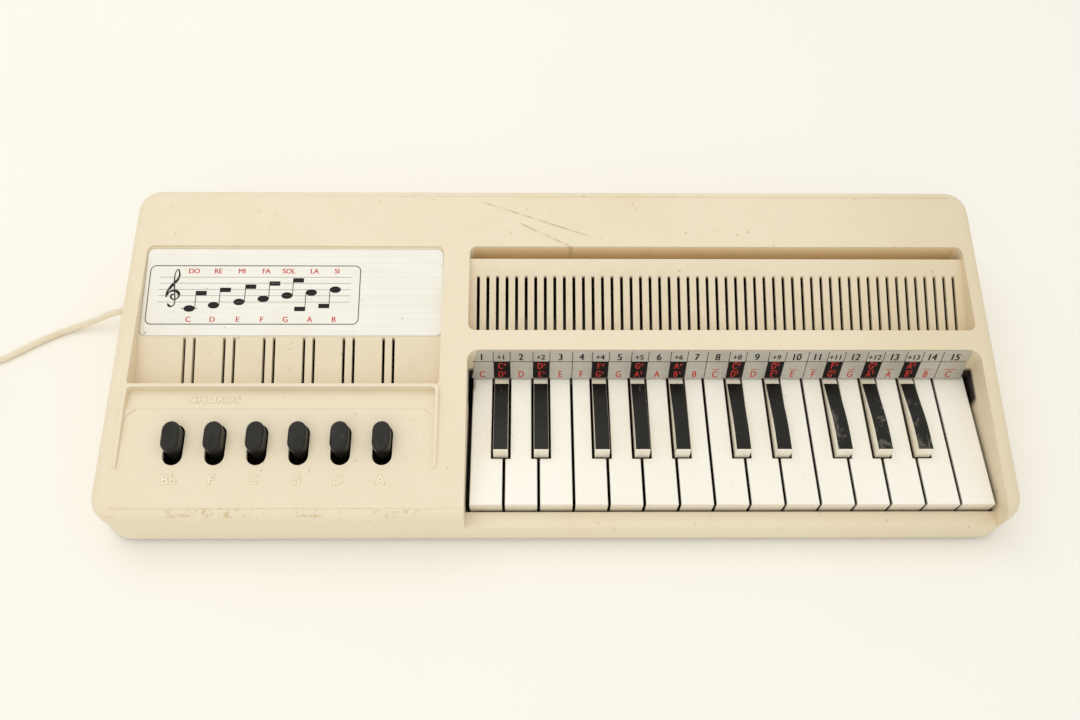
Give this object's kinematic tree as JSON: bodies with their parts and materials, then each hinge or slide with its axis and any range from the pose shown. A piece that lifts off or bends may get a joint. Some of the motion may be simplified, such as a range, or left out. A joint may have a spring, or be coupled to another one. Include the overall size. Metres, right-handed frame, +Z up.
{
  "type": "portable keyboard",
  "caption": "Portable chord organ: sloping moulded case, hinged white and black keys, chord buttons on sprung levers, sound grille, chart plate, electric fan and mains cord",
  "frame": {"origin": "on the floor, under the middle of the case, the cord left out", "axes": "+X to the player's right along the keys, +Y away from the player, +Z up"},
  "size_m": [0.807, 0.226, 0.0751],
  "materials": {
    "black_plastic": "black moulded plastic, worn",
    "case_plastic": "aged beige moulded plastic, satin gloss, worn",
    "chest_plastic": "dark grey moulded plastic",
    "cord_plastic": "cream flexible vinyl",
    "cover_plastic": "dark brown moulded plastic, fine matt grain",
    "key_plastic": "cream moulded plastic, polished",
    "motor_metal": "grey painted steel can",
    "plate_metal": "thin printed sheet, satin silver",
    "reed_metal": "rolled sheet",
    "rubber": "black rubber",
    "sharp_plastic": "cream moulded plastic with a black top inlay",
    "spring_steel": "drawn steel",
    "strip_metal": "thin printed sheet, satin grey",
    "tie_plastic": "off-white flexible plastic"
  },
  "bodies": {
    "case": {"bottom_cover": "cover_plastic", "case_screw_1": "spring_steel", "case_screw_2": "spring_steel", "case_screw_3": "spring_steel", "case_screw_4": "spring_steel", "chart_plate": "plate_metal", "chord_pivot_rod": "spring_steel", "chord_reed_plate": "reed_metal", "chord_spring_comb": "spring_steel", "chord_wind_chest": "chest_plastic", "cord_coil": "cord_plastic", "cord_tie": "tie_plastic", "fan_housing": "chest_plastic", "fan_motor": "motor_metal", "foot_1": "rubber", "foot_2": "rubber", "foot_3": "rubber", "foot_4": "rubber", "key_frame": "chest_plastic", "key_label_strip": "strip_metal", "key_pivot_rod": "spring_steel", "key_reed_plate": "reed_metal", "key_spring_comb": "spring_steel", "key_wind_chest": "chest_plastic", "mains_cord": "cord_plastic", "plug": "cord_plastic", "strain_relief": "cord_plastic", "top_case": "case_plastic"},
    "white_key_01": {"white_key_01": "key_plastic"},
    "white_key_02": {"white_key_02": "key_plastic"},
    "white_key_03": {"white_key_03": "key_plastic"},
    "white_key_04": {"white_key_04": "key_plastic"},
    "white_key_05": {"white_key_05": "key_plastic"},
    "white_key_06": {"white_key_06": "key_plastic"},
    "white_key_07": {"white_key_07": "key_plastic"},
    "white_key_08": {"white_key_08": "key_plastic"},
    "white_key_09": {"white_key_09": "key_plastic"},
    "white_key_10": {"white_key_10": "key_plastic"},
    "white_key_11": {"white_key_11": "key_plastic"},
    "white_key_12": {"white_key_12": "key_plastic"},
    "white_key_13": {"white_key_13": "key_plastic"},
    "white_key_14": {"white_key_14": "key_plastic"},
    "white_key_15": {"white_key_15": "key_plastic"},
    "black_key_01": {"black_key_01": "sharp_plastic"},
    "black_key_02": {"black_key_02": "sharp_plastic"},
    "black_key_03": {"black_key_03": "sharp_plastic"},
    "black_key_04": {"black_key_04": "sharp_plastic"},
    "black_key_05": {"black_key_05": "sharp_plastic"},
    "black_key_06": {"black_key_06": "sharp_plastic"},
    "black_key_07": {"black_key_07": "sharp_plastic"},
    "black_key_08": {"black_key_08": "sharp_plastic"},
    "black_key_09": {"black_key_09": "sharp_plastic"},
    "black_key_10": {"black_key_10": "sharp_plastic"},
    "chord_button_1": {"chord_button_1": "black_plastic"},
    "chord_button_2": {"chord_button_2": "black_plastic"},
    "chord_button_3": {"chord_button_3": "black_plastic"},
    "chord_button_4": {"chord_button_4": "black_plastic"},
    "chord_button_5": {"chord_button_5": "black_plastic"},
    "chord_button_6": {"chord_button_6": "black_plastic"},
    "fan_impeller": {"fan_impeller": "chest_plastic"}
  },
  "joints": [
    {"name": "white_key_01_hinge", "type": "hinge", "parent": "case", "child": "white_key_01", "pos_m": [-0.045, 0.012, 0.027], "axis": [1, 0, 0], "range_deg": [0, 4.06], "stiffness_Nm_per_rad": 0.62, "springref_deg": -6.07, "deforming": ["key_spring_comb"]},
    {"name": "white_key_02_hinge", "type": "hinge", "parent": "case", "child": "white_key_02", "pos_m": [-0.023, 0.012, 0.027], "axis": [1, 0, 0], "range_deg": [0, 4.06], "stiffness_Nm_per_rad": 0.62, "springref_deg": -6.07, "deforming": ["key_spring_comb"]},
    {"name": "white_key_03_hinge", "type": "hinge", "parent": "case", "child": "white_key_03", "pos_m": [-0.001, 0.012, 0.027], "axis": [1, 0, 0], "range_deg": [0, 4.06], "stiffness_Nm_per_rad": 0.62, "springref_deg": -6.07, "deforming": ["key_spring_comb"]},
    {"name": "white_key_04_hinge", "type": "hinge", "parent": "case", "child": "white_key_04", "pos_m": [0.021, 0.012, 0.027], "axis": [1, 0, 0], "range_deg": [0, 4.06], "stiffness_Nm_per_rad": 0.62, "springref_deg": -6.07, "deforming": ["key_spring_comb"]},
    {"name": "white_key_05_hinge", "type": "hinge", "parent": "case", "child": "white_key_05", "pos_m": [0.043, 0.012, 0.027], "axis": [1, 0, 0], "range_deg": [0, 4.06], "stiffness_Nm_per_rad": 0.62, "springref_deg": -6.07, "deforming": ["key_spring_comb"]},
    {"name": "white_key_06_hinge", "type": "hinge", "parent": "case", "child": "white_key_06", "pos_m": [0.065, 0.012, 0.027], "axis": [1, 0, 0], "range_deg": [0, 4.06], "stiffness_Nm_per_rad": 0.62, "springref_deg": -6.07, "deforming": ["key_spring_comb"]},
    {"name": "white_key_07_hinge", "type": "hinge", "parent": "case", "child": "white_key_07", "pos_m": [0.087, 0.012, 0.027], "axis": [1, 0, 0], "range_deg": [0, 4.06], "stiffness_Nm_per_rad": 0.62, "springref_deg": -6.07, "deforming": ["key_spring_comb"]},
    {"name": "white_key_08_hinge", "type": "hinge", "parent": "case", "child": "white_key_08", "pos_m": [0.109, 0.012, 0.027], "axis": [1, 0, 0], "range_deg": [0, 4.06], "stiffness_Nm_per_rad": 0.62, "springref_deg": -6.07, "deforming": ["key_spring_comb"]},
    {"name": "white_key_09_hinge", "type": "hinge", "parent": "case", "child": "white_key_09", "pos_m": [0.131, 0.012, 0.027], "axis": [1, 0, 0], "range_deg": [0, 4.06], "stiffness_Nm_per_rad": 0.62, "springref_deg": -6.07, "deforming": ["key_spring_comb"]},
    {"name": "white_key_10_hinge", "type": "hinge", "parent": "case", "child": "white_key_10", "pos_m": [0.153, 0.012, 0.027], "axis": [1, 0, 0], "range_deg": [0, 4.06], "stiffness_Nm_per_rad": 0.62, "springref_deg": -6.07, "deforming": ["key_spring_comb"]},
    {"name": "white_key_11_hinge", "type": "hinge", "parent": "case", "child": "white_key_11", "pos_m": [0.175, 0.012, 0.027], "axis": [1, 0, 0], "range_deg": [0, 4.06], "stiffness_Nm_per_rad": 0.62, "springref_deg": -6.07, "deforming": ["key_spring_comb"]},
    {"name": "white_key_12_hinge", "type": "hinge", "parent": "case", "child": "white_key_12", "pos_m": [0.197, 0.012, 0.027], "axis": [1, 0, 0], "range_deg": [0, 4.06], "stiffness_Nm_per_rad": 0.62, "springref_deg": -6.07, "deforming": ["key_spring_comb"]},
    {"name": "white_key_13_hinge", "type": "hinge", "parent": "case", "child": "white_key_13", "pos_m": [0.219, 0.012, 0.027], "axis": [1, 0, 0], "range_deg": [0, 4.06], "stiffness_Nm_per_rad": 0.62, "springref_deg": -6.07, "deforming": ["key_spring_comb"]},
    {"name": "white_key_14_hinge", "type": "hinge", "parent": "case", "child": "white_key_14", "pos_m": [0.241, 0.012, 0.027], "axis": [1, 0, 0], "range_deg": [0, 4.06], "stiffness_Nm_per_rad": 0.62, "springref_deg": -6.07, "deforming": ["key_spring_comb"]},
    {"name": "white_key_15_hinge", "type": "hinge", "parent": "case", "child": "white_key_15", "pos_m": [0.263, 0.012, 0.027], "axis": [1, 0, 0], "range_deg": [0, 4.06], "stiffness_Nm_per_rad": 0.62, "springref_deg": -6.07, "deforming": ["key_spring_comb"]},
    {"name": "black_key_01_hinge", "type": "hinge", "parent": "case", "child": "black_key_01", "pos_m": [-0.0361, 0.012, 0.027], "axis": [1, 0, 0], "range_deg": [0, 4.06], "stiffness_Nm_per_rad": 0.62, "springref_deg": -6.07, "deforming": ["key_spring_comb"]},
    {"name": "black_key_02_hinge", "type": "hinge", "parent": "case", "child": "black_key_02", "pos_m": [-0.0103, 0.012, 0.027], "axis": [1, 0, 0], "range_deg": [0, 4.06], "stiffness_Nm_per_rad": 0.62, "springref_deg": -6.07, "deforming": ["key_spring_comb"]},
    {"name": "black_key_03_hinge", "type": "hinge", "parent": "case", "child": "black_key_03", "pos_m": [0.0284, 0.012, 0.027], "axis": [1, 0, 0], "range_deg": [0, 4.06], "stiffness_Nm_per_rad": 0.62, "springref_deg": -6.07, "deforming": ["key_spring_comb"]},
    {"name": "black_key_04_hinge", "type": "hinge", "parent": "case", "child": "black_key_04", "pos_m": [0.054, 0.012, 0.027], "axis": [1, 0, 0], "range_deg": [0, 4.06], "stiffness_Nm_per_rad": 0.62, "springref_deg": -6.07, "deforming": ["key_spring_comb"]},
    {"name": "black_key_05_hinge", "type": "hinge", "parent": "case", "child": "black_key_05", "pos_m": [0.0796, 0.012, 0.027], "axis": [1, 0, 0], "range_deg": [0, 4.06], "stiffness_Nm_per_rad": 0.62, "springref_deg": -6.07, "deforming": ["key_spring_comb"]},
    {"name": "black_key_06_hinge", "type": "hinge", "parent": "case", "child": "black_key_06", "pos_m": [0.1179, 0.012, 0.027], "axis": [1, 0, 0], "range_deg": [0, 4.06], "stiffness_Nm_per_rad": 0.62, "springref_deg": -6.07, "deforming": ["key_spring_comb"]},
    {"name": "black_key_07_hinge", "type": "hinge", "parent": "case", "child": "black_key_07", "pos_m": [0.1437, 0.012, 0.027], "axis": [1, 0, 0], "range_deg": [0, 4.06], "stiffness_Nm_per_rad": 0.62, "springref_deg": -6.07, "deforming": ["key_spring_comb"]},
    {"name": "black_key_08_hinge", "type": "hinge", "parent": "case", "child": "black_key_08", "pos_m": [0.1824, 0.012, 0.027], "axis": [1, 0, 0], "range_deg": [0, 4.06], "stiffness_Nm_per_rad": 0.62, "springref_deg": -6.07, "deforming": ["key_spring_comb"]},
    {"name": "black_key_09_hinge", "type": "hinge", "parent": "case", "child": "black_key_09", "pos_m": [0.208, 0.012, 0.027], "axis": [1, 0, 0], "range_deg": [0, 4.06], "stiffness_Nm_per_rad": 0.62, "springref_deg": -6.07, "deforming": ["key_spring_comb"]},
    {"name": "black_key_10_hinge", "type": "hinge", "parent": "case", "child": "black_key_10", "pos_m": [0.2336, 0.012, 0.027], "axis": [1, 0, 0], "range_deg": [0, 4.06], "stiffness_Nm_per_rad": 0.62, "springref_deg": -6.07, "deforming": ["key_spring_comb"]},
    {"name": "chord_button_1_hinge", "type": "hinge", "parent": "case", "child": "chord_button_1", "pos_m": [-0.23845, -0.03585, 0.0225], "axis": [1, 0, 0], "range_deg": [0, 9], "stiffness_Nm_per_rad": 0.3, "springref_deg": -8.59, "deforming": ["chord_spring_comb"]},
    {"name": "chord_button_2_hinge", "type": "hinge", "parent": "case", "child": "chord_button_2", "pos_m": [-0.21259, -0.03585, 0.0225], "axis": [1, 0, 0], "range_deg": [0, 9], "stiffness_Nm_per_rad": 0.3, "springref_deg": -8.59, "deforming": ["chord_spring_comb"]},
    {"name": "chord_button_3_hinge", "type": "hinge", "parent": "case", "child": "chord_button_3", "pos_m": [-0.18673, -0.03585, 0.0225], "axis": [1, 0, 0], "range_deg": [0, 9], "stiffness_Nm_per_rad": 0.3, "springref_deg": -8.59, "deforming": ["chord_spring_comb"]},
    {"name": "chord_button_4_hinge", "type": "hinge", "parent": "case", "child": "chord_button_4", "pos_m": [-0.16087, -0.03585, 0.0225], "axis": [1, 0, 0], "range_deg": [0, 9], "stiffness_Nm_per_rad": 0.3, "springref_deg": -8.59, "deforming": ["chord_spring_comb"]},
    {"name": "chord_button_5_hinge", "type": "hinge", "parent": "case", "child": "chord_button_5", "pos_m": [-0.13501, -0.03585, 0.0225], "axis": [1, 0, 0], "range_deg": [0, 9], "stiffness_Nm_per_rad": 0.3, "springref_deg": -8.59, "deforming": ["chord_spring_comb"]},
    {"name": "chord_button_6_hinge", "type": "hinge", "parent": "case", "child": "chord_button_6", "pos_m": [-0.10915, -0.03585, 0.0225], "axis": [1, 0, 0], "range_deg": [0, 9], "stiffness_Nm_per_rad": 0.3, "springref_deg": -8.59, "deforming": ["chord_spring_comb"]},
    {"name": "fan_spin", "type": "hinge", "parent": "case", "child": "fan_impeller", "pos_m": [-0.21, 0.068, 0.0301], "axis": [0, 0, 1], "continuous": true}
  ]
}
